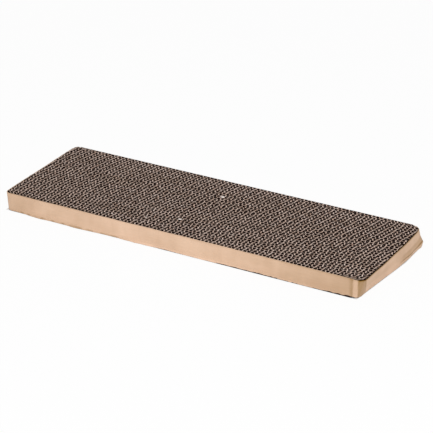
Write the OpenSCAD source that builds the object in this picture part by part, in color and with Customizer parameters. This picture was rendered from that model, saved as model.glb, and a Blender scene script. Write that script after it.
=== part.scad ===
// Cat scratcher: a flat pad of corrugated cardboard strips that stand on edge side by side,
// glued face to face and held together by a paper wrap round the four sides.
// X runs along the strips, Y across them and Z up. The origin is the middle of the footprint.

/* [Pad] */
// Length of the pad over its side wrap
pad_length = 480; // [300:1:600]
// Height of the pad, which is the width that every strip is cut to
pad_height = 24; // [15:0.5:50]
// Number of strips side by side across the pad
strip_count = 31; // [6:1:50]

/* [Corrugated board] */
// Thickness of the board, which is also the spacing of the strips
board_t = 5.1; // [4.3:0.1:6]
// Thickness of one flat liner of the board
liner_t = 0.3; // [0.2:0.05:0.5]
// Thickness of the wavy paper between the two liners
medium_t = 0.25; // [0.15:0.05:0.35]
// Length of one wave of the board
wave_length = 9.9; // [9.3:0.1:11.1]
// Slope of a wave's straight flanks, in degrees
flank_angle = 56; // [50:1:60]

/* [Cutting of the strips] */
// Neighbouring strips that were cut from the same place of a sheet
strips_per_cut = 3; // [1:1:8]
// Shift of the waves from one strip of a cut to the next, as a share of one wave
drift = 0.07; // [0:0.01:0.2]
// Seed of the irregular shift of the waves from one cut to the next
cut_seed = 13; // [0:1:90]

/* [Side wrap] */
// Thickness of the wrap's paper
wrap_t = 0.6; // [0.3:0.1:1]
// Gap between the strips and the wrap
wrap_gap = 0.2; // [0.1:0.05:0.8]
// Radius of the wrap's corners, on the outside
corner_r = 8; // [4:0.5:12]
// Height of the wrap's lower edge above the floor
wrap_lift = 0.8; // [0:0.1:2]
// Length of the lap where the wrap's two ends are glued together
lap_length = 26; // [15:1:40]
// Distance of the lap from the corner's rounding, along the back
lap_inset = 14; // [5:1:60]

/* [Hidden] */
strip_names = [for (i = [1:strip_count]) str("strip_", i < 10 ? "0" : "", i)];

$fn = 32;
wrap_fn = 96;
board_brown = [0.56, 0.48, 0.42];
kraft_tan = [0.84, 0.70, 0.58];

core_length = pad_length - 2 * (wrap_t + wrap_gap);
core_width = strip_count * board_t;
core_corner_r = corner_r - wrap_t - wrap_gap;
pad_width = core_width + 2 * (wrap_t + wrap_gap);

// The wave is drawn as the hollow on each side of the wavy paper: round at the crest, with
// straight flanks, and flat on the liner. The flanks of neighbouring hollows are parallel and
// one paper thickness apart. They run a little into the crest's circle and so meet it cleanly.
wave_height = board_t - 2 * liner_t;
quarter = wave_length / 4;
half_t = medium_t / 2;
crest_r = (quarter * sin(flank_angle) - (wave_height / 2 - medium_t) * cos(flank_angle) - half_t)
    / (1 - cos(flank_angle));
crest_y = wave_height - medium_t - crest_r;
shoulder_inset = 0.05;
shoulder_r = crest_r - shoulder_inset;
shoulder = [shoulder_r * sin(flank_angle), crest_y + shoulder_r * cos(flank_angle)];
foot = quarter - half_t * sin(flank_angle)
    + (wave_height / 2 - half_t * cos(flank_angle)) / tan(flank_angle);

// An irregular number from 0 to 1 for the cut with number c: the sine's later digits
scatter_gain = 40;
scatter_step = 77;
function scatter(c) =
    let (v = scatter_gain * sin(scatter_step * c + cut_seed))
    v - floor(v);

// Shift of a strip's waves along X, as a share of one wave, with the strips counted from 0
function wave_shift(i) = scatter(floor(i / strips_per_cut)) + drift * (i % strips_per_cut);

// Middle of a strip's thickness, with the strips counted from the front
function strip_y(i) = (i - (strip_count - 1) / 2) * board_t;

// A rectangle about the origin with round corners
module rounded_outline(size, r) {
    square([size[0] - 2 * r, size[1]], center = true);
    square([size[0], size[1] - 2 * r], center = true);
    for (x = [-1, 1], y = [-1, 1])
        translate([x * (size[0] / 2 - r), y * (size[1] / 2 - r)])
            circle(r);
}

// One hollow between a wave and the liner, with the liner's face on the X axis
module hollow() {
    polygon([[-foot, 0], [-shoulder[0], shoulder[1]], shoulder, [foot, 0]]);
    translate([0, crest_y])
        circle(crest_r);
}

// Every hollow of a board, which open to one face of the wavy paper and the other in turn
module hollows(shift) {
    half_count = ceil(core_length / 2 / wave_length) + 1;
    first = -half_count - floor(shift);
    for (k = [first:first + 2 * half_count]) {
        translate([(k + shift) * wave_length, -wave_height / 2])
            hollow();
        translate([(k + shift + 0.5) * wave_length, wave_height / 2])
            mirror([0, 1])
                hollow();
    }
}

// Where the hollows may reach: they are open at the strips' ends, but at the round corners
// they stop one liner short, because the outer liner is bent round there
module hollow_room() {
    rounded_outline(
        [core_length - 2 * liner_t, core_width - 2 * liner_t],
        core_corner_r - liner_t
    );
    square([pad_length, core_width - 2 * core_corner_r], center = true);
}

// The board seen from above: two liners with the wavy paper between them
module board_section(i) {
    difference() {
        square([core_length, board_t], center = true);
        intersection() {
            hollows(wave_shift(i));
            square([pad_length, wave_height], center = true);
            translate([0, -strip_y(i)])
                hollow_room();
        }
    }
}

// A strip of board, cut to the pad's height, whose ends follow the pad's round corners
module strip(i) {
    color(board_brown)
        linear_extrude(pad_height)
            intersection() {
                rounded_outline([core_length, core_width], core_corner_r);
                translate([0, strip_y(i)])
                    board_section(i);
            }
}

// The wrap goes once round the pad, and its outer end laps over the start at the back
module side_wrap() {
    lap_x = -pad_length / 2 + corner_r + lap_inset;
    color(kraft_tan)
        translate([0, 0, wrap_lift])
            linear_extrude(pad_height - wrap_lift) {
                difference() {
                    rounded_outline([pad_length, pad_width], corner_r, $fn = wrap_fn);
                    rounded_outline(
                        [pad_length - 2 * wrap_t, pad_width - 2 * wrap_t],
                        corner_r - wrap_t,
                        $fn = wrap_fn
                    );
                }
                translate([lap_x, pad_width / 2])
                    square([lap_length, wrap_t]);
            }
}

for (i = [0:strip_count - 1])
    strip(i);
side_wrap();
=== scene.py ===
import math
import bpy
import numpy as np
from mathutils import Matrix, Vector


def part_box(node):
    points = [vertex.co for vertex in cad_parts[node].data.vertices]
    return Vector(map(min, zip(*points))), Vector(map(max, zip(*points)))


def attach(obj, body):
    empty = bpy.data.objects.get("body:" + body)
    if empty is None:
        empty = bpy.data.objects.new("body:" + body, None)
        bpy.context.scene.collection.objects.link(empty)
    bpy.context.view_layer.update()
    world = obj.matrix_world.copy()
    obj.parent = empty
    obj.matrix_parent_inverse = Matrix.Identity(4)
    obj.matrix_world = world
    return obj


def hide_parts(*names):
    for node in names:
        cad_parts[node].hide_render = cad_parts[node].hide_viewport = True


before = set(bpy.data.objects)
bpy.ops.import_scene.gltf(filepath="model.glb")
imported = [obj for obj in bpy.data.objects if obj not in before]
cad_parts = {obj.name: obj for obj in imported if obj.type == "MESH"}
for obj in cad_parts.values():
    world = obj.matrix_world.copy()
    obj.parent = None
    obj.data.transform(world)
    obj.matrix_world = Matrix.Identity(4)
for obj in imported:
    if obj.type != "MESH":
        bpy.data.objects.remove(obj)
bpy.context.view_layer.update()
millimetre = 0.001

pad = {
    "length": 480.0,
    "width": 159.7,
    "height": 24.0,
    "stripCount": 31,
    "boardThickness": 5.1,
    "wrapThickness": 0.55,
    "coreGap": 1.2,  # from the wrap's outer face to the ends of the strips
    "crushReach": 46.0,  # how far in from the ends the pad is squeezed
    "cornerShare": 0.995,  # the most of a corner's radius that the ends follow
}
middleLow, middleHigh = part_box("strip_16")
padMiddle = np.array([middleLow.x + middleHigh.x, middleLow.y + middleHigh.y, 0.0]) / 2
print("frame loaded, pad middle", padMiddle.round(5))

# Random heights: how many a line and a sheet of them have, and which of them lies at place 0
lattice = {
    "line": 2048,
    "lineStart": 512.0,
    "sheet": (1024, 64),
    "sheetStart": (256.0, 16.0),
}


def smoothStep(low, high, value):
    # 0 below low, 1 above high, and 3t^2 - 2t^3 between them
    share = np.clip((value - low) / (high - low), 0.0, 1.0)
    return share * share * (3.0 - 2.0 * share)


def band(value, low, high, blur):
    # 1 between low and high, with soft sides
    rise = smoothStep(low - blur, low + blur, value)
    return rise * (1.0 - smoothStep(high - blur, high + blur, value))


def wander(seed, place, spacing):
    # random heights from -1 to 1 at even spacing, joined by smooth steps
    count = lattice["line"]
    heights = np.random.default_rng(seed).uniform(-1.0, 1.0, count)
    steps = place / spacing + lattice["lineStart"]
    low = np.floor(steps).astype(int)
    share = smoothStep(0.0, 1.0, steps - low)
    return heights[low % count] * (1.0 - share) + heights[(low + 1) % count] * share


def wanderSheet(seed, along, up, alongSpacing, upSpacing):
    # the same on a lattice: four corner heights blended by two smooth steps
    columns, rows = lattice["sheet"]
    heights = np.random.default_rng(seed).uniform(-1.0, 1.0, (columns, rows))
    a = along / alongSpacing + lattice["sheetStart"][0]
    b = up / upSpacing + lattice["sheetStart"][1]
    lowA = np.floor(a).astype(int)
    lowB = np.floor(b).astype(int)
    shareA = smoothStep(0.0, 1.0, a - lowA)
    shareB = smoothStep(0.0, 1.0, b - lowB)
    i, j = lowA % columns, lowB % rows
    i2, j2 = (lowA + 1) % columns, (lowB + 1) % rows
    near = heights[i, j] * (1.0 - shareA) + heights[i2, j] * shareA
    far = heights[i, j2] * (1.0 - shareA) + heights[i2, j2] * shareA
    return near * (1.0 - shareB) + far * shareB


# How the ends of the pad have settled: millimetres outward at places across the pad
settle = {
    "across": [-80.0, -66.0, -50.0, -31.0, -17.0, 0.0, 15.0, 30.0, 41.0, 52.0, 66.0, 80.0],
    "rightTop": [-1.4, -1.2, -0.6, 0.4, 0.7, 0.8, 1.3, 1.5, 1.3, 1.1, 0.6, 0.0],
    "rightFoot": [-8.0, -7.6, -6.0, -3.9, -2.6, 0.0, 1.2, 2.4, 3.6, 2.6, 2.2, 3.0],
    "rightCurve": 1.15,  # above 1, the right end stands steeper at the top than at the foot
    "leftTop": [0.0, 0.2, 0.3, 0.2, 0.0, -0.2, 0.0, 0.2, 0.1, 0.1, 0.0, -0.3],
    "leftFoot": [-1.3, -1.0, -0.6, -0.2, 0.0, 0.2, 0.0, -0.3, -0.4, -0.4, -0.6, -1.0],
    # and how far the foot of the front stands out at places along it
    "along": [-235, -202, -178, -154, -130, -105, -81, -57, -33, -8, 15, 40, 62, 88, 112, 161, 200],
    "frontFoot": [0, 1.5, 1.7, 2.1, 2.1, 1.8, 0.7, 0.8, 0.1, 0.6, 1.6, 0.3, -0.5, -0.4, 0.8, 0.9, 0],
    "frontCurve": 1.5,
}
# Radius of each corner at the top and at the foot
cornerRadius = {
    "backRight": (12.0, 9.0),
    "frontRight": (10.5, 9.0),
    "frontLeft": (7.5, 8.5),
    "backLeft": (9.0, 9.0),
}


def climbTo(z):
    # 0 at the foot and 1 at the top
    return np.clip(z / pad["height"], 0.0, 1.0)


def endShift(x, y, z):
    # outward shift of an end: its top and foot lines, blended by height
    climb = climbTo(z)
    across = settle["across"]
    footShare = (1.0 - climb) ** settle["rightCurve"]
    right = np.interp(y, across, settle["rightFoot"]) * footShare
    right = right + np.interp(y, across, settle["rightTop"]) * (1.0 - footShare)
    left = np.interp(y, across, settle["leftFoot"]) * (1.0 - climb)
    left = left + np.interp(y, across, settle["leftTop"]) * climb
    nearEnd = pad["length"] / 2 - pad["crushReach"]
    weight = smoothStep(0.0, pad["crushReach"], np.abs(x) - nearEnd)
    return np.where(x > 0, right, -left) * weight


def radiusAt(corner, z):
    # a straight change from the corner's radius at the foot to the one at the top
    top, foot = cornerRadius[corner]
    return foot + (top - foot) * climbTo(z)


def roundReach(x, y, z, inset):
    # half length of a rectangle with round corners, at a place across it
    right = np.where(y > 0, radiusAt("backRight", z), radiusAt("frontRight", z))
    left = np.where(y > 0, radiusAt("backLeft", z), radiusAt("frontLeft", z))
    radius = np.where(x > 0, right, left) - inset
    overhang = np.abs(y) - (pad["width"] / 2 - inset - radius)
    overhang = np.clip(overhang, 0.0, radius * pad["cornerShare"])
    return pad["length"] / 2 - inset - radius + np.sqrt(radius**2 - overhang**2)


def squeezeEnds(points):
    # moves the ends of the strips in to the rounded outline, and fades out inside the pad
    x, y, z = points[..., 0], points[..., 1], points[..., 2]
    flat = pad["length"] / 2 - pad["coreGap"]
    room = roundReach(x, y, z, pad["coreGap"]) - flat
    weight = smoothStep(0.0, pad["crushReach"], np.abs(x) - flat + pad["crushReach"])
    points[..., 0] = x + np.sign(x) * room * weight + endShift(x, y, z)
    return points


def loopFaces(rows, columns, start):
    # quads between neighbouring closed loops, and a ladder of quads across both ends; the faces
    # look outward where a loop goes up on the left of the path and down on its right
    row, column = np.meshgrid(np.arange(rows - 1), np.arange(columns), indexing="ij")
    after = (column + 1) % columns
    sides = np.stack(
        [
            row * columns + column,
            row * columns + after,
            (row + 1) * columns + after,
            (row + 1) * columns + column,
        ],
        axis=-1,
    ).reshape(-1, 4)
    rung = np.arange(columns // 2 - 1)
    first = np.stack([columns - 1 - rung, columns - 2 - rung, rung + 1, rung], axis=-1)
    last = first[:, ::-1] + (rows - 1) * columns
    return np.concatenate([sides, first, last]) + start


def makePiece(name, points, faces, material, tone):
    # one mesh object at the origin, made of quads with smooth shading, with a tone at each
    # point, below 0 for darker and above 0 for lighter
    mesh = bpy.data.meshes.new(name)
    mesh.vertices.add(len(points))
    mesh.vertices.foreach_set("co", (points * millimetre + padMiddle).astype(np.float32).ravel())
    mesh.loops.add(faces.size)
    mesh.loops.foreach_set("vertex_index", faces.astype(np.int32).ravel())
    mesh.polygons.add(len(faces))
    mesh.polygons.foreach_set("loop_start", np.arange(0, faces.size, 4, dtype=np.int32))
    mesh.update(calc_edges=True)
    mesh.validate()
    mesh.polygons.foreach_set("use_smooth", np.ones(len(mesh.polygons), dtype=bool))
    mesh.attributes.new("tone", "FLOAT", "POINT")
    mesh.attributes["tone"].data.foreach_set("value", tone.astype(np.float32))
    mesh.materials.append(material)
    piece = bpy.data.objects.new(name, mesh)
    bpy.context.scene.collection.objects.link(piece)
    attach(piece, "root")
    return piece


def addNode(tree, kind, label, **values):
    # a shader node with its properties and its unlinked inputs set
    made = tree.nodes.new(kind)
    made.label = label
    for key, value in values.items():
        if hasattr(made, key):
            setattr(made, key, value)
        else:
            made.inputs[key.replace("_", " ")].default_value = value
    return made


def feed(tree, value, socket):
    # sets a plain number or colour on an input, or links another node's output to it
    if isinstance(value, (float, tuple)):
        socket.default_value = value
    else:
        tree.links.new(value, socket)


def operate(tree, label, operation, *values, kind="ShaderNodeMath"):
    # a math node over other nodes' outputs and plain values
    made = addNode(tree, kind, label, operation=operation)
    for number, value in enumerate(values):
        feed(tree, value, made.inputs[number])
    return made.outputs[0]


def noise(tree, label, place, **values):
    # a noise pattern on a place
    made = addNode(tree, "ShaderNodeTexNoise", label, **values)
    feed(tree, place, made.inputs["Vector"])
    return made.outputs["Fac"]


def mapRange(tree, label, value, limits, **values):
    # 0 at the first limit and 1 at the second
    made = addNode(tree, "ShaderNodeMapRange", label, **values)
    feed(tree, limits[0], made.inputs["From Min"])
    feed(tree, limits[1], made.inputs["From Max"])
    feed(tree, value, made.inputs["Value"])
    return made.outputs["Result"]


def mixColours(tree, label, factor, first, second):
    # the node's inputs 6 and 7 and its output 2 are the ones for colours
    made = addNode(tree, "ShaderNodeMix", label, data_type="RGBA")
    feed(tree, factor, made.inputs["Factor"])
    feed(tree, first, made.inputs[6])
    feed(tree, second, made.inputs[7])
    return made.outputs[2]


def objectPlace(tree):
    return addNode(tree, "ShaderNodeTexCoord", "place").outputs["Object"]


def newMaterial(name):
    material = bpy.data.materials.new(name)
    material.use_nodes = True
    tree = material.node_tree
    return material, tree, tree.nodes["Principled BSDF"]


toneShares = (0.92, 1.03, 1.3)  # how strongly the tone acts on red, green and blue


def toned(tree, colour, depth):
    # a colour made darker and browner, or lighter and paler, by the mesh's tone
    vectorMath = "ShaderNodeVectorMath"
    tone = addNode(tree, "ShaderNodeAttribute", "tone", attribute_name="tone").outputs["Vector"]
    shares = tuple(share * depth for share in toneShares)
    gain = operate(
        tree, "tone as a gain", "MULTIPLY_ADD", tone, shares, (1.0, 1.0, 1.0), kind=vectorMath
    )
    return operate(tree, "toned colour", "MULTIPLY", colour, gain, kind=vectorMath)


def finishPaper(tree, shader, finish, colour, relief):
    # the paper's colour, its fine relief and its dull sheen
    bump = addNode(tree, "ShaderNodeBump", "fibre bump", Strength=finish["bumpStrength"])
    feed(tree, finish["bumpHeight"] * millimetre, bump.inputs["Distance"])
    feed(tree, relief, bump.inputs["Height"])
    feed(tree, bump.outputs[0], shader.inputs["Normal"])
    feed(tree, colour, shader.inputs["Base Color"])
    feed(tree, finish["roughness"], shader.inputs["Roughness"])
    feed(tree, finish["specular"], shader.inputs["Specular IOR Level"])


boardFinish = {
    "cutColour": (0.98, 0.79, 0.685, 1.0),
    "cutShade": (0.52, 0.31, 0.215, 1.0),
    # painted shade: the walls below the cut faces, near black as the shade in the hollows
    "wallShadeColour": (0.012, 0.0022, 0.0006, 1.0),
    "cutSolid": 0.02,  # the torn edge's full colour reaches this deep
    "cutDepth": 0.18,  # and below this depth the walls take the painted shade
    "fibreSize": 0.5,
    "patchSize": 6.0,
    "contrast": (0.67, 1.23),  # sums of fibres and patches for cutShade and for cutColour
    "toneDepth": 0.15,
    "bumpStrength": 0.5,
    "bumpHeight": 0.15,
    "roughness": 0.9,
    "specular": 0.2,
}


def corrugatedBoardMaterial():
    # torn, pale paper at both cut faces, and walls below them painted near black as the shade down
    # in the hollows
    material, tree, shader = newMaterial("corrugatedBoard")
    place = objectPlace(tree)
    split = addNode(tree, "ShaderNodeSeparateXYZ", "height")
    feed(tree, place, split.inputs[0])
    z = split.outputs["Z"]
    # distance below the upper cut face or above the lower one, whichever is less
    fromTop = operate(tree, "from the top", "SUBTRACT", pad["height"] * millimetre, z)
    nearest = operate(tree, "to a cut face", "MINIMUM", fromTop, z)
    depths = (boardFinish["cutDepth"] * millimetre, boardFinish["cutSolid"] * millimetre)
    cut = mapRange(tree, "cut edge", nearest, depths, interpolation_type="SMOOTHSTEP")
    fibreScale = 1.0 / (boardFinish["fibreSize"] * millimetre)
    patchScale = 1.0 / (boardFinish["patchSize"] * millimetre)
    fibres = noise(tree, "torn fibres", place, Scale=fibreScale, Detail=3.0, Roughness=0.6)
    patches = noise(tree, "patches", place, Scale=patchScale, Detail=2.0)
    both = operate(tree, "fibres and patches", "ADD", fibres, patches)
    spread = mapRange(tree, "more contrast", both, boardFinish["contrast"])
    tones = mixColours(tree, "cut tones", spread, boardFinish["cutShade"], boardFinish["cutColour"])
    tones = toned(tree, tones, boardFinish["toneDepth"])
    # below the cut edge the colour is the painted shade of the walls
    body = mixColours(tree, "wall or cut", cut, boardFinish["wallShadeColour"], tones)
    finishPaper(tree, shader, boardFinish, body, fibres)
    return material


wrapFinish = {
    "paperColour": (0.785, 0.546, 0.383, 1.0),
    "paperShade": (0.70, 0.473, 0.322, 1.0),
    "streakScale": (60.0, 60.0, 700.0),  # fine up the side and long round the pad
    "streakShare": 0.5,
    "cloudScale": 34.0,
    "contrast": (0.5, 1.0),
    "toneDepth": 1.0,
    "bumpStrength": 0.25,
    "bumpHeight": 0.1,
    "roughness": 0.62,
    "specular": 0.3,
}


def kraftWrapMaterial():
    # smooth brown paper with fine fibres round the pad and soft clouds
    material, tree, shader = newMaterial("kraftWrap")
    place = objectPlace(tree)
    streakMap = addNode(tree, "ShaderNodeMapping", "fibres run round the pad")
    feed(tree, wrapFinish["streakScale"], streakMap.inputs["Scale"])
    feed(tree, place, streakMap.inputs["Vector"])
    streaks = noise(tree, "streaks", streakMap.outputs[0], Scale=1.0, Detail=4.0)
    clouds = noise(tree, "clouds", place, Scale=wrapFinish["cloudScale"], Detail=3.0)
    share = wrapFinish["streakShare"]
    both = operate(tree, "clouds and streaks", "MULTIPLY_ADD", streaks, share, clouds)
    spread = mapRange(tree, "more contrast", both, wrapFinish["contrast"])
    tones = mixColours(
        tree, "paper tones", spread, wrapFinish["paperShade"], wrapFinish["paperColour"]
    )
    finishPaper(tree, shader, wrapFinish, toned(tree, tones, wrapFinish["toneDepth"]), streaks)
    return material


board = {
    "linerThickness": 0.3,
    "waveThickness": 0.25,
    "waveLength": 9.9,
    "flankAngle": 81.0,
    "crestRadius": 0.75,
    "stripsPerCut": 3,
    "drift": 0.07,
    "cutSeed": 13,
    "scatterStep": 77.0,
    "scatterGain": 40.0,
    "stationsPerWave": 18,
    "spareWaves": 1.5,  # drawn past each end, so that a shifted wave still fills the strip
    "linerStations": 190,
    "flankWidth": 1.6,  # the wavy paper's frayed cut edge, half way between the liners
    "crestWidth": 0.25,  # and where it is glued to a liner
    "frayFrom": 0.72,  # share of the way to a liner where the fraying starts to narrow
    "linerWidth": 0.55,
    "linerDrop": 0.11,  # the liners end this far inside both cut faces
    "linerSag": 0.05,
    "sagSpacing": 9.0,
    "cutSteps": [0.0, 0.28, 1.0],  # heights of the points inward from a cut face
    "cutFlare": [1.0, 0.55, 0.06],  # share of the fraying at each of them
    "fuzz": (0.75, 0.45),  # the fraying's mean share, and how far it wanders
    "fuzzSpacing": 1.1,
    "leanAtCut": 0.04,  # how far a cut edge is bent aside
    "leanSpacing": (2.3, 2.1),
    "leanShares": [0.9, 0.7, 0.35, 0.0, 0.35, 0.7, 1.0],  # from the foot to the top
    "heightScatter": 0.03,
    "heightSpacing": (3.0, 2.6),
    "heightReach": 2.0,
    "slowDrift": 0.04,  # waves gained or lost along a strip
    "quickShare": 0.35,  # and the share of that over shorter stretches
    "jitter": 0.03,
    "driftSpacing": (150.0, 40.0, 6.0),
    "stripTone": 0.5,
    "alongTone": 0.5,
    "toneSpacing": 45.0,
    "toneSeed": 7,
    "firstSeed": 1000,  # each strip's own draws count up from here
    "seedStep": 40,
}


def waveShift(number):
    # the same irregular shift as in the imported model, as a share of a wave
    cut = np.floor(number / board["stripsPerCut"])
    value = board["scatterGain"] * np.sin(np.radians(board["scatterStep"] * cut + board["cutSeed"]))
    return value - np.floor(value) + board["drift"] * (number % board["stripsPerCut"])


def wavePath(turns):
    # one wave, walked at an even pace: each quarter is half a flat crest, a round shoulder and
    # half a straight flank; returns the place along the board in waves and the height across it
    angle = math.radians(board["flankAngle"])
    quarter = board["waveLength"] / 4
    rise = pad["boardThickness"] / 2 - board["linerThickness"] - board["waveThickness"] / 2
    radius = board["crestRadius"]
    fall = rise - radius * (1 - math.cos(angle))
    flat = quarter - radius * math.sin(angle) - fall / math.tan(angle)
    shoulderEnd = flat + radius * angle
    quarterWalk = shoulderEnd + fall / math.sin(angle)
    whole = np.floor(turns * 4.0)
    walked = (turns * 4.0 - whole) * quarterWalk
    fromCrest = whole % 2 == 0
    walked = np.where(fromCrest, walked, quarterWalk - walked)
    bend = np.clip(walked - flat, 0.0, radius * angle) / radius
    straight = np.maximum(walked - shoulderEnd, 0.0)
    x = np.minimum(walked, flat) + radius * np.sin(bend) + straight * math.cos(angle)
    y = rise - radius * (1 - np.cos(bend)) - straight * math.sin(angle)
    x = np.where(fromCrest, x, 2 * quarter - x) / board["waveLength"]
    y = np.where(fromCrest, y, -y)
    lower = np.floor(turns * 2.0) % 2 == 1
    return np.floor(turns * 2.0) / 2 + x, np.where(lower, -y, y)


def paperWall(path, thickness, leftFlare, rightFlare, seed):
    # a wall of paper carried along a path: a closed loop of points at each station, which goes
    # up one face and down the other, and widens to a fuzzy edge at both cut faces
    height = pad["height"]
    inward = np.array(board["cutSteps"])
    steps = np.concatenate([inward, [height / 2], height - inward[::-1]])
    flare = np.array(board["cutFlare"] + [0.0] + board["cutFlare"][::-1])
    forward = np.gradient(path, axis=0)
    forward /= np.linalg.norm(forward, axis=1, keepdims=True)
    left = np.stack([-forward[:, 1], forward[:, 0]], axis=1)
    along = path[:, 0]
    footLean = wander(seed + 1, along, board["leanSpacing"][0]) * board["leanAtCut"]
    topLean = wander(seed + 2, along, board["leanSpacing"][1]) * board["leanAtCut"]
    lean = np.where(steps[None, :] < height / 2, footLean[:, None], topLean[:, None])
    lean = lean * np.array(board["leanShares"])
    fuzz = board["fuzz"][0] + board["fuzz"][1] * wander(seed + 3, along, board["fuzzSpacing"])
    # both cut faces wander a little in height, which fades out within the reach
    scatter, reach = board["heightScatter"], board["heightReach"]
    footLift = scatter * (1.0 + wander(seed + 4, along, board["heightSpacing"][0]))
    topDrop = scatter * (1.0 + wander(seed + 5, along, board["heightSpacing"][1]))
    z = steps[None, :] + footLift[:, None] * np.clip(1.0 - steps / reach, 0.0, 1.0)
    z = z - topDrop[:, None] * np.clip(1.0 - (height - steps) / reach, 0.0, 1.0)
    loops = []
    for sign, extra in ((1.0, leftFlare), (-1.0, rightFlare)):
        shift = lean + sign * (thickness / 2 + extra * flare[None, :] * fuzz[:, None])
        x = path[:, :1] + left[:, :1] * shift
        y = path[:, 1:] + left[:, 1:] * shift
        loops.append(np.stack([x, y, z], axis=-1))
    return np.concatenate([loops[0], loops[1][:, ::-1]], axis=1)


def boardStrip(number, material):
    # two liners and the wavy paper between them, as three closed walls in one mesh
    middle = (number - (pad["stripCount"] - 1) / 2) * pad["boardThickness"]
    half = pad["length"] / 2 - pad["coreGap"]
    seed = board["firstSeed"] + board["seedStep"] * number
    count = half / board["waveLength"] + board["spareWaves"]
    turns = np.linspace(-count, count, int(2 * count * board["stationsPerWave"]) + 1)
    place, height = wavePath(turns)
    along = (place + waveShift(number)) * board["waveLength"]
    slowSpacing, quickSpacing, jitterSpacing = board["driftSpacing"]
    slow = wander(seed + 11, along, slowSpacing)
    slow = slow + board["quickShare"] * wander(seed + 12, along, quickSpacing)
    jitter = board["jitter"] * wander(seed + 13, along, jitterSpacing)
    along = along + board["waveLength"] * (board["slowDrift"] * slow + jitter)
    inside = np.abs(along) < half
    wave = np.stack([along[inside], middle + height[inside]], axis=1)
    wave[0, 0], wave[-1, 0] = -half, half
    # the share of the way from the middle of the board to a liner sets the edge's width
    climb = np.abs(height[inside]) / np.abs(height).max()
    fray = (board["flankWidth"] - board["crestWidth"]) * smoothStep(1.0, board["frayFrom"], climb)
    extra = (board["crestWidth"] + fray - board["waveThickness"])[:, None] / 2
    walls = [paperWall(wave, board["waveThickness"], extra, extra, seed)]
    far = np.linspace(-half, half, board["linerStations"])
    sag = board["linerSag"] * (1.0 + wander(seed + 14, far, board["sagSpacing"]))
    offset = (pad["boardThickness"] - board["linerThickness"]) / 2
    linerExtra = (board["linerWidth"] - board["linerThickness"]) / 2
    front = np.stack([far, middle - offset + sag * 0.5], axis=1)
    back = np.stack([far, middle + offset - sag * 0.5], axis=1)
    walls.append(paperWall(front, board["linerThickness"], linerExtra, 0.0, seed + 20))
    walls.append(paperWall(back, board["linerThickness"], 0.0, linerExtra, seed + 30))
    halfHeight = pad["height"] / 2
    for liner in walls[1:]:
        liner[..., 2] += (halfHeight - liner[..., 2]) / halfHeight * board["linerDrop"]
    points, faces, start = [], [], 0
    for wall in walls:
        wall = squeezeEnds(wall)
        faces.append(loopFaces(wall.shape[0], wall.shape[1], start))
        points.append(wall.reshape(-1, 3))
        start += wall.shape[0] * wall.shape[1]
    nodeName = "strip_%02d" % (number + 1)
    points = np.concatenate(points)
    faces = np.concatenate(faces)
    tone = board["stripTone"] * wander(board["toneSeed"], number * 1.0, 1.0)
    tone = tone + board["alongTone"] * wander(seed + 15, points[:, 0], board["toneSpacing"])
    piece = makePiece("board_" + nodeName, points, faces, material, tone)
    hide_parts(nodeName)
    return piece


boardMaterial = corrugatedBoardMaterial()
strips = [boardStrip(number, boardMaterial) for number in range(pad["stripCount"])]
print("strips made:", len(strips), "with", len(strips[0].data.vertices), "points each")

wrap = {
    "lapStart": -218.0,
    "lapEnd": -192.0,
    "lapGap": 0.05,
    "lapClimb": (40.0, 27.0),  # between these distances from its end it climbs over its start
    "lapFlatFrom": 44.0,  # and from this distance on its bulge fades out
    "levels": 34,
    "straightSpacing": 1.6,
    # rough lengths of the straight parts, which set how many stations each one has
    "straights": {"back": 440, "right": 140, "front": 460, "left": 140, "lap": 40},
    "cornerStations": 25,
    "facets": {"backRight": 3, "frontRight": 3, "frontLeft": 4, "backLeft": 4},
    "seeds": {"foot": 31, "fine": 32, "top": 33, "tear": 34},
    # height of the lower edge, and how it wanders over longer and shorter stretches
    "foot": 0.9,
    "footScatter": 0.6,
    "footSpacing": 26.0,
    "fineScatter": 0.25,
    "fineSpacing": 7.0,
    "footLeast": 0.1,
    # the front's lower edge is torn and lifted towards the right, and in a few wider gaps
    "footRaise": 0.5,
    "raiseFrom": (60.0, 120.0),
    "tearScatter": 1.2,
    "tearSpacing": 3.0,
    "footGaps": [(210.0, 7.0, 0.9), (229.0, 6.0, 1.0)],  # middle, reach and depth
    "topDrop": {"front": 0.3, "right": 0.65, "back": 0.95, "left": 0.95},
    "topScatter": 0.25,
    "topSpacing": 19.0,
    # the front's upper edge is raised, most of all between the two ramps
    "topRaise": 0.65,
    "leastRaise": 0.25,
    "topRamps": [(-90.0, 50.0), (222.0, 236.0)],
    "bulge": 0.35,
    "bulgeMean": 0.4,
    "bulgeEdge": 0.02,  # share of the height where the bulge stops narrowing at both edges
    "swells": [(41, 34.0, 17.0, 0.6), (42, 13.0, 9.0, 0.25)],  # seed, two spacings and depth
    "endDepth": 14.0,  # how far round its corners the right end's paper reaches
    # the fold low on the right end, which dies out towards the middle of that end
    "foldHeight": 6.4,
    "foldOut": 1.3,
    "foldWidth": 1.7,
    "foldFrom": (5.0, 45.0),
    # at the back right corner the paper flares out to the fold and turns in below it
    "cornerOut": 3.1,
    "cornerAside": 1.7,
    "cornerFrom": (52.0, 74.0),
    "asideFrom": (50.0, 72.0),
    "asideDepth": (26.0, 4.0),
    "flareReach": 8.0,
    "flareShares": [0.35, 1.0, 0.2, 0.0],  # at the foot, the fold, the reach above it and the top
}


def facetRadius(angle, facets):
    # a corner folded over flat facets instead of a true arc: the cosine of half a facet's
    # angle over the cosine of the angle from the facet's middle
    width = math.pi / 2 / facets
    local = angle - (np.floor(angle / width) + 0.5) * width
    local = np.clip(local, -width / 2, width / 2)
    return math.cos(width / 2) / np.cos(local)


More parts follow.
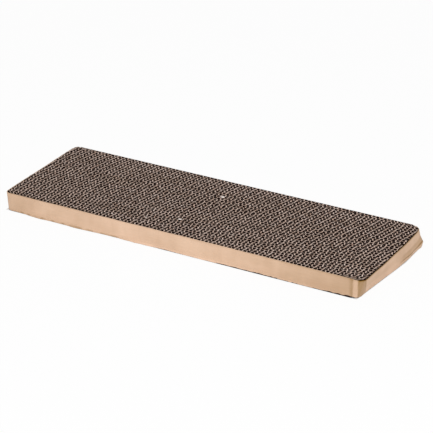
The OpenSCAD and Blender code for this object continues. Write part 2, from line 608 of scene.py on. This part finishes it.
def wrapOutline(z):
    # round the pad from the lap, back, right, front, left and back again, a column per height
    ones = np.ones_like(z)
    right, back = pad["length"] / 2 * ones, pad["width"] / 2 * ones
    radius = {name: radiusAt(name, z) for name in cornerRadius}
    turn = np.linspace(0.0, math.pi / 2, wrap["cornerStations"])[:, None]
    parts = []

    def straight(side, x0, y0, x1, y1):
        count = int(wrap["straights"][side] / wrap["straightSpacing"]) + 1
        share = np.linspace(0.0, 1.0, count)[1:-1, None]
        x = x0 * (1 - share) + x1 * share
        y = y0 * (1 - share) + y1 * share
        parts.append(np.stack([x, y], axis=-1))

    def corner(name, signX, signY):
        r = radius[name] * facetRadius(turn, wrap["facets"][name])
        first, second = r * np.sin(turn), r * np.cos(turn)
        outX, outY = (first, second) if signX == signY else (second, first)
        x = signX * (right - radius[name] + outX)
        y = signY * (back - radius[name] + outY)
        parts.append(np.stack([x, y], axis=-1))

    straight("back", wrap["lapStart"] * ones, back, right - radius["backRight"], back)
    corner("backRight", 1, 1)
    straight("right", right, back - radius["backRight"], right, -back + radius["frontRight"])
    corner("frontRight", 1, -1)
    straight("front", right - radius["frontRight"], -back, -right + radius["frontLeft"], -back)
    corner("frontLeft", -1, -1)
    straight("left", -right, -back + radius["frontLeft"], -right, back - radius["backLeft"])
    corner("backLeft", -1, 1)
    straight("lap", -right + radius["backLeft"], back, wrap["lapEnd"] * ones, back)
    return np.concatenate(parts, axis=0)


# The paper's random clouds, and the light and shade painted on it: darker places are below 0 and
# lighter ones above
paperTonesAndShade = {
    "clouds": [(51, 21.0, 9.0, 0.05), (52, 6.0, 14.0, 0.03)],  # seed, two spacings and depth
    # painted light and shade along the front: lightest left of the middle, darker towards both ends,
    # most on the right
    "front": [
        (-240, -0.14),
        (-200, -0.05),
        (-130, 0.0),
        (-95, 0.04),
        (60, 0.0),
        (134, -0.06),
        (144, -0.16),
        (200, -0.2),
        (225, -0.25),
    ],
    # painted light and shade on the folded front right corner: places below 0 are on the front and
    # above 0 on the end
    "cornerTurn": 0.5,
    "cornerReach": 40.0,
    "hollow": [(-20.5, -15.5), (-15.0, -13.6)],
    "hollowShade": -0.2,
    "stripe": (-13.8, -8.8, 0.7),
    "stripeLight": 0.12,
    "facet": (-8.0, 2.4, 0.9),
    "facetShade": -0.36,
    # painted shade on the rest of the end, which is less dim at its foot next to the corner
    "endFrom": 0.8,
    "endShade": -0.08,
    "endFootLessShade": 0.1,
    "endFootFade": (9.0, 12.0),
    "endFootReach": (0.0, 12.0),
    # painted shade over the fold low on the right end: its line falls towards the front and climbs
    # at the back
    "foldLine": 5.8,
    "foldAlong": (212.0, 236.0),
    "foldAcross": (10.0, 30.0),
    "foldFall": 0.9,
    "foldClimb": 2.4,
    "climbAcross": (56.0, 72.0),
    "lineWidth": 0.85,
    "foldLineShade": 0.6,
    "shadeBand": (0.5, 6.5, 1.9),
    "shadeTone": 0.22,
    "creases": [(-83.0, 9.0), (-66.0, 12.0), (-47.0, 15.0), (-21.0, 18.0)],  # place and bend of each crease, painted as shade only
    "creaseMiddle": 0.45,
    "creaseSlant": 5.0,
    "creaseWidth": 1.3,
    "creaseShade": 0.05,
    "rim": (2.1, 0.9),  # painted shade below the top
    "rimShade": 0.08,
    "endRimShade": 0.42,
    # along the foot of the front: tan on the right, and spotted and darker on the left
    "footRim": (2.2, 3.8),
    "leftOf": (-90.0, -40.0),
    "rightTone": 0.1,
    "leftTone": 0.06,
    "spotTone": 0.3,
    "spotSeed": 53,
    "spotSpacing": 5.0,
    "spotShare": 0.2,
}


def cornerLightAndShade(across):
    # painted shade in a hollow, a painted light stripe and painted shade on a dark facet
    rise, fall = paperTonesAndShade["hollow"]
    hollow = smoothStep(*rise, across) * (1.0 - smoothStep(*fall, across))
    marks = paperTonesAndShade["hollowShade"] * hollow
    marks = marks + paperTonesAndShade["stripeLight"] * band(across, *paperTonesAndShade["stripe"])
    return marks + paperTonesAndShade["facetShade"] * band(across, *paperTonesAndShade["facet"])


def foldShade(x, y, z):
    # painted shade: a dark line over the fold, with a broad shade above it
    onFold = smoothStep(*paperTonesAndShade["foldAlong"], x) * smoothStep(*paperTonesAndShade["foldAcross"], y)
    above = z - paperTonesAndShade["foldLine"] + paperTonesAndShade["foldFall"] * (1.0 - onFold)
    above = above - paperTonesAndShade["foldClimb"] * smoothStep(*paperTonesAndShade["climbAcross"], y)
    line = np.exp(-((above / paperTonesAndShade["lineWidth"]) ** 2))
    shade = paperTonesAndShade["shadeTone"] * band(above, *paperTonesAndShade["shadeBand"])
    return onFold * (paperTonesAndShade["foldLineShade"] * line + shade)


def wrapCloudsAndShade(x, y, z, front, right):
    # the paper's random clouds and all the light and shade painted on it; front and right say how
    # much a place counts to those sides
    (seedA, *spacingA, depthA), (seedB, *spacingB, depthB) = paperTonesAndShade["clouds"]
    tone = depthA * wanderSheet(seedA, x + y, z, *spacingA)
    tone = tone + depthB * wanderSheet(seedB, x - y, z, *spacingB)
    # painted light and shade along the front
    places, depths = zip(*paperTonesAndShade["front"])
    tone = tone + front * np.interp(x, places, depths)
    # the folded corner's painted light and shade stand upright although the end leans in at the foot
    across = x + endShift(x, y, z) - pad["length"] / 2
    across = across + paperTonesAndShade["cornerTurn"] * (y + pad["width"] / 2)
    nearCorner = (x > pad["length"] / 2 - paperTonesAndShade["cornerReach"]) & (y < 0.0)
    tone = tone + np.where(nearCorner, cornerLightAndShade(across), 0.0)
    # painted shade on the right end, lifted a little at its foot next to the front
    onEnd = (x > pad["length"] / 2 - wrap["endDepth"]) & (across > paperTonesAndShade["endFrom"])
    lowPart = 1.0 - smoothStep(*paperTonesAndShade["endFootFade"], z)
    nearFront = 1.0 - smoothStep(*paperTonesAndShade["endFootReach"], y)
    endShade = paperTonesAndShade["endShade"] + paperTonesAndShade["endFootLessShade"] * lowPart * nearFront
    tone = tone + np.where(onEnd, endShade, 0.0)
    tone = tone - foldShade(x, y, z)
    # painted shade along shallow creases on the front, which the band's shape does not have
    climb = z / pad["height"]
    for middle, bend in paperTonesAndShade["creases"]:
        arc = middle + bend * (climb - paperTonesAndShade["creaseMiddle"]) ** 2
        arc = arc - paperTonesAndShade["creaseSlant"] * climb
        crease = np.exp(-(((x - arc) / paperTonesAndShade["creaseWidth"]) ** 2))
        crease = crease * np.sin(math.pi * np.clip(climb, 0, 1))
        tone = tone - paperTonesAndShade["creaseShade"] * front * crease
    # a dim rim of painted shade along the top, darkest on the right end, and the front's rim along
    # its foot
    below, full = paperTonesAndShade["rim"]
    rim = smoothStep(pad["height"] - below, pad["height"] - full, z)
    tone = tone - (paperTonesAndShade["rimShade"] + paperTonesAndShade["endRimShade"] * right) * rim
    spacing = paperTonesAndShade["spotSpacing"]
    spots = wanderSheet(paperTonesAndShade["spotSeed"], x, np.zeros_like(z), spacing, spacing)
    spots = np.clip(spots + paperTonesAndShade["spotShare"], 0.0, 1.0)
    toLeft = 1.0 - smoothStep(*paperTonesAndShade["leftOf"], x)
    low = 1.0 - smoothStep(*paperTonesAndShade["footRim"], z)
    leftTone = (paperTonesAndShade["leftTone"] + paperTonesAndShade["spotTone"] * spots) * toLeft
    return tone + low * (paperTonesAndShade["rightTone"] * (1.0 - toLeft) - leftTone) * front


def wrapShape(material):
    # one closed shell: the outline at each height, moved to the settled shape, with a wandering
    # upper and lower edge, and carried inward by the paper's thickness
    height = pad["height"]
    thick = pad["wrapThickness"]
    seeds = wrap["seeds"]
    share = np.linspace(0.0, 1.0, wrap["levels"])
    outline = wrapOutline(share * height)
    steps = np.gradient(outline[:, -1], axis=0)
    steps /= np.linalg.norm(steps, axis=1, keepdims=True)
    # how much each side of the pad counts at a place: squares of the outward direction
    sides = {
        "back": np.clip(steps[:, 0], 0, 1) ** 2,
        "front": np.clip(-steps[:, 0], 0, 1) ** 2,
        "left": np.clip(steps[:, 1], 0, 1) ** 2,
        "right": np.clip(-steps[:, 1], 0, 1) ** 2,
    }
    run = np.cumsum(np.linalg.norm(np.diff(outline[:, -1], axis=0), axis=1))
    run = np.concatenate([[0.0], run])
    foot = wrap["foot"] + wrap["footScatter"] * wander(seeds["foot"], run, wrap["footSpacing"])
    foot = foot + wrap["fineScatter"] * wander(seeds["fine"], run, wrap["fineSpacing"])
    place = outline[:, 0, 0]
    torn = wrap["footRaise"] * smoothStep(*wrap["raiseFrom"], place)
    torn = torn * (1.0 + wrap["tearScatter"] * wander(seeds["tear"], run, wrap["tearSpacing"]))
    for middle, reach, depth in wrap["footGaps"]:
        torn = torn + depth * np.exp(-(((place - middle) / reach) ** 2))
    foot = np.clip(foot + torn * sides["front"], wrap["footLeast"], None)
    drop = sum(wrap["topDrop"][side] * weight for side, weight in sides.items())
    scatter = wrap["topScatter"] * 0.5 * (1.0 + wander(seeds["top"], run, wrap["topSpacing"]))
    rise, fall = wrap["topRamps"]
    onTop = smoothStep(*rise, outline[:, -1, 0]) * (1.0 - smoothStep(*fall, outline[:, -1, 0]))
    onTop = wrap["leastRaise"] + (1.0 - wrap["leastRaise"]) * onTop
    top = height - drop - scatter + wrap["topRaise"] * onTop * sides["front"]
    z = foot[:, None] * (1 - share) + top[:, None] * share
    x, y = outline[..., 0], outline[..., 1]
    front = sides["front"][:, None]
    tone = wrapCloudsAndShade(x, y, z, front, sides["right"][:, None])
    x = x + endShift(x, y, z)
    out = np.clip(1.0 - z / height, 0.0, 1.0) ** settle["frontCurve"]
    y = y - front * (np.interp(x, settle["along"], settle["frontFoot"]) * out)
    # the fold low on the right end, and the flare at the back right corner
    right = pad["length"] / 2
    fold = wrap["foldHeight"]
    onRight = (x > right - wrap["endDepth"]) * smoothStep(*wrap["foldFrom"], y)
    corner = onRight * smoothStep(*wrap["cornerFrom"], y)
    ridge = np.exp(-np.abs(z - fold) / wrap["foldWidth"])
    slant = np.interp(z, [0.0, fold, fold + wrap["flareReach"], height], wrap["flareShares"])
    x = x + onRight * (1.0 - corner) * ridge * wrap["foldOut"] + corner * slant * wrap["cornerOut"]
    outset, inset = wrap["asideDepth"]
    aside = smoothStep(right - outset, right - inset, x) * smoothStep(*wrap["asideFrom"], y)
    y = y + aside * slant * wrap["cornerAside"]
    # outward direction in plan, square to the outline
    tangent = np.gradient(np.stack([x, y], axis=-1), axis=0)
    tangent /= np.linalg.norm(tangent, axis=-1, keepdims=True)
    outX, outY = -tangent[..., 1], tangent[..., 0]
    swell = sum(
        wanderSheet(seed, run[:, None], z, along, up) * depth
        for seed, along, up, depth in wrap["swells"]
    )
    swell = wrap["bulge"] * (swell + wrap["bulgeMean"])
    inside = np.clip(share, wrap["bulgeEdge"], 1.0 - wrap["bulgeEdge"])
    swell = swell * np.sin(math.pi * inside)
    # the outer end of the band climbs over its start
    start, full = (run[-1] - before for before in wrap["lapClimb"])
    over = smoothStep(start, full, run)[:, None] * (thick + wrap["lapGap"])
    flat = 1 - smoothStep(run[-1] - wrap["lapFlatFrom"], full, run)[:, None]
    swell = swell * flat + over
    outer = np.stack([x + outX * swell, y + outY * swell, z], axis=-1)
    inner = np.stack([x + outX * (swell - thick), y + outY * (swell - thick), z], axis=-1)
    points = np.concatenate([outer, inner[:, ::-1]], axis=1)
    tone = np.concatenate([tone, tone[:, ::-1]], axis=1).reshape(-1)
    faces = loopFaces(points.shape[0], points.shape[1], 0)
    piece = makePiece("wrap_band", points.reshape(-1, 3), faces, material, tone)
    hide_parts("side_wrap")
    return piece


flecks = {
    # place of the middle, length, width and direction of each torn scrap of paper
    "scraps": [
        (-1.4, 36.1, 5.6, 4.4, 28.0),
        (-16.0, -42.0, 5.2, 3.3, 26.0),
        (-53.7, -56.8, 2.6, 2.4, 40.0),
    ],
    "thickness": 0.12,
    "rest": 0.02,  # how far it lies above the cut face
    "lift": 0.3,
    "stations": 9,
    "tipShare": 0.04,
    "blunt": 0.6,
    "wobble": 0.25,
    "wobbleSeed": 61,
    "wobbleReach": 9.0,
    "wobbleSpacing": 2.0,
    "paperColour": (0.97, 0.865, 0.79, 1.0),
    "shade": 0.8,
    "fibreScale": 1500.0,
    "roughness": 0.95,
}


def paperFleckMaterial():
    material, tree, shader = newMaterial("paperFleck")
    place = objectPlace(tree)
    fibres = noise(tree, "fibres", place, Scale=flecks["fibreScale"], Detail=2.0)
    paper = flecks["paperColour"]
    shade = tuple(flecks["shade"] * part for part in paper[:3]) + (1.0,)
    feed(tree, mixColours(tree, "fleck tones", fibres, shade, paper), shader.inputs["Base Color"])
    feed(tree, flecks["roughness"], shader.inputs["Roughness"])
    return material


def fleckShape(material):
    # each scrap is a leaf with a pointed outline, bent up along its length: half its width is
    # the sine of the share of its length, with a small wobble
    count = flecks["stations"]
    share = np.linspace(flecks["tipShare"], 1.0 - flecks["tipShare"], count)
    wobblePlace = share * flecks["wobbleReach"]
    points, faces = [], []
    for number, (x0, y0, length, width, turn) in enumerate(flecks["scraps"]):
        half = width / 2 * np.sin(math.pi * share) ** flecks["blunt"]
        seed = flecks["wobbleSeed"] + number
        wobble = flecks["wobble"] * wander(seed, wobblePlace, flecks["wobbleSpacing"])
        half = half * (1.0 + wobble)
        along = (share - 0.5) * length
        rise = pad["height"] + flecks["rest"] + flecks["lift"] * (2.0 * share - 1.0) ** 2
        ring = np.stack(
            [
                np.stack([along, side * half, rise + up * flecks["thickness"]], axis=-1)
                for side, up in ((1, 0), (1, 1), (-1, 1), (-1, 0))
            ],
            axis=1,
        )
        angle = math.radians(turn)
        spun = np.empty_like(ring)
        spun[..., 0] = x0 + ring[..., 0] * math.cos(angle) - ring[..., 1] * math.sin(angle)
        spun[..., 1] = y0 + ring[..., 0] * math.sin(angle) + ring[..., 1] * math.cos(angle)
        spun[..., 2] = ring[..., 2]
        faces.append(loopFaces(count, 4, 4 * count * number))
        points.append(spun.reshape(-1, 3))
    points = np.concatenate(points)
    faces = np.concatenate(faces)
    return makePiece("paper_flecks", points, faces, material, np.zeros(len(points)))


wrapPiece = wrapShape(kraftWrapMaterial())
print("wrap made with", len(wrapPiece.data.polygons), "faces")
fleckPiece = fleckShape(paperFleckMaterial())
print("torn flecks made with", len(fleckPiece.data.polygons), "faces")

white = (1.0, 1.0, 1.0, 1.0)
studio = {
    "floorSize": 6.0,  # metres
    "floorColour": (0.93, 0.93, 0.93, 1.0),
    "floorRoughness": 0.9,
    "floorWhite": 0.92,
    "shelter": 0.7,  # how far inside the pad's sides the floor is no longer whitened
    "footSkew": 0.11,  # the foot of the right end runs askew
    "footFar": 2.3,  # and then straight, this far past the pad's end
    "worldStrength": 0.62,
    "keyPower": 24.0,
    "keySize": 1.6,
    "keyPlace": (0.9, -1.45, 1.6),
    "lens": 150.9,
    "sensor": 36.0,
    "clip": (0.1, 50.0),
    "cameraPlace": (0.9438, -1.7014, 0.9626),
    "yaw": 28.763,
    "pitch": 26.001,
    "roll": 0.199,
}


def seenDirectly(tree):
    # 1 for what the camera sees, also in a mirror or through glass, and 0 for the lighting
    ray = addNode(tree, "ShaderNodeLightPath", "ray").outputs
    seen = operate(
        tree, "camera or glossy", "MAXIMUM", ray["Is Camera Ray"], ray["Is Glossy Ray"]
    )
    return operate(tree, "or transmission", "MAXIMUM", seen, ray["Is Transmission Ray"])


def mixSurface(tree, share, lit, seen, outputName):
    # what lights the scene and what is seen, blended into the tree's output
    mix = addNode(tree, "ShaderNodeMixShader", "lit or seen")
    for value, socket in zip((share, lit.outputs[0], seen.outputs[0]), mix.inputs):
        feed(tree, value, socket)
    feed(tree, mix.outputs[0], tree.nodes[outputName].inputs["Surface"])


def besidePad(tree):
    # 1 where the floor lies beyond the foot of one of the pad's sides
    halfLength, halfWidth = pad["length"] / 2, pad["width"] / 2
    shelter = studio["shelter"]
    split = addNode(tree, "ShaderNodeSeparateXYZ", "along and across")
    feed(tree, objectPlace(tree), split.inputs[0])
    x, y = split.outputs["X"], split.outputs["Y"]
    askew = operate(tree, "right foot made straight", "MULTIPLY_ADD", y, -studio["footSkew"], x)
    across = operate(tree, "distance across", "ABSOLUTE", y)
    beside = None
    for label, value, side, limit in (
        ("right", askew, "GREATER_THAN", halfLength - shelter),
        ("far right", x, "GREATER_THAN", halfLength + studio["footFar"]),
        ("left", x, "LESS_THAN", shelter - halfLength),
        ("front or back", across, "GREATER_THAN", halfWidth - shelter),
    ):
        beyond = operate(tree, "beyond the " + label, side, value, limit * millimetre)
        if beside is None:
            beside = beyond
        else:
            beside = operate(tree, "or the " + label, "MAXIMUM", beside, beyond)
    return beside


def makeFloor():
    # seen directly or mirrored, most of the floor's colour is plain white and the rest keeps
    # the shadow; under the pad the floor is seen through the hollows and stays as it is lit
    half = studio["floorSize"] / 2
    corners = [(-half, -half, 0), (half, -half, 0), (half, half, 0), (-half, half, 0)]
    mesh = bpy.data.meshes.new("floor")
    mesh.from_pydata(corners, [], [(0, 1, 2, 3)])
    floor = bpy.data.objects.new("floor", mesh)
    bpy.context.scene.collection.objects.link(floor)
    material, tree, shader = newMaterial("paleFloor")
    feed(tree, studio["floorColour"], shader.inputs["Base Color"])
    feed(tree, studio["floorRoughness"], shader.inputs["Roughness"])
    feed(tree, 0.0, shader.inputs["Specular IOR Level"])
    seen = operate(tree, "seen beside the pad", "MULTIPLY", seenDirectly(tree), besidePad(tree))
    share = operate(tree, "share of white", "MULTIPLY", seen, studio["floorWhite"])
    plain = addNode(tree, "ShaderNodeEmission", "seen white", Color=white, Strength=1.0)
    mixSurface(tree, share, shader, plain, "Material Output")
    mesh.materials.append(material)


def makeLights():
    # a soft white room and one large lamp in front, high on the right
    world = bpy.data.worlds.new("studio")
    bpy.context.scene.world = world
    world.use_nodes = True
    tree = world.node_tree
    room = tree.nodes["Background"]
    feed(tree, white, room.inputs["Color"])
    feed(tree, studio["worldStrength"], room.inputs["Strength"])
    plain = addNode(tree, "ShaderNodeBackground", "seen white", Color=white, Strength=1.0)
    mixSurface(tree, seenDirectly(tree), room, plain, "World Output")
    light = bpy.data.lights.new("keyLight", "AREA")
    light.energy = studio["keyPower"]
    light.size = studio["keySize"]
    key = bpy.data.objects.new("keyLight", light)
    key.location = studio["keyPlace"]
    aim = -key.location
    key.rotation_euler = aim.to_track_quat("-Z", "Y").to_euler()
    bpy.context.scene.collection.objects.link(key)


def makeCamera():
    # turned by yaw round the upright, pitched down, and rolled round its line of sight
    yaw, pitch, roll = (math.radians(studio[name]) for name in ("yaw", "pitch", "roll"))
    level = math.cos(pitch)
    right = np.array([math.cos(yaw), math.sin(yaw), 0.0])
    forward = np.array([-math.sin(yaw) * level, math.cos(yaw) * level, -math.sin(pitch)])
    up = np.cross(right, forward)
    rolledRight = math.cos(roll) * right + math.sin(roll) * up
    rolledUp = math.cos(roll) * up - math.sin(roll) * right
    data = bpy.data.cameras.new("camera")
    data.lens = studio["lens"]
    data.sensor_width = studio["sensor"]
    data.clip_start, data.clip_end = studio["clip"]
    camera = bpy.data.objects.new("camera", data)
    turned = Matrix.Identity(4)
    for row in range(3):
        turned[row][0] = rolledRight[row]
        turned[row][1] = rolledUp[row]
        turned[row][2] = -forward[row]
        turned[row][3] = studio["cameraPlace"][row] + padMiddle[row]
    camera.matrix_world = turned
    bpy.context.scene.collection.objects.link(camera)
    bpy.context.scene.camera = camera


makeFloor()
makeLights()
makeCamera()
bpy.context.scene.view_settings.view_transform = "Standard"
print("floor, lights and camera placed")
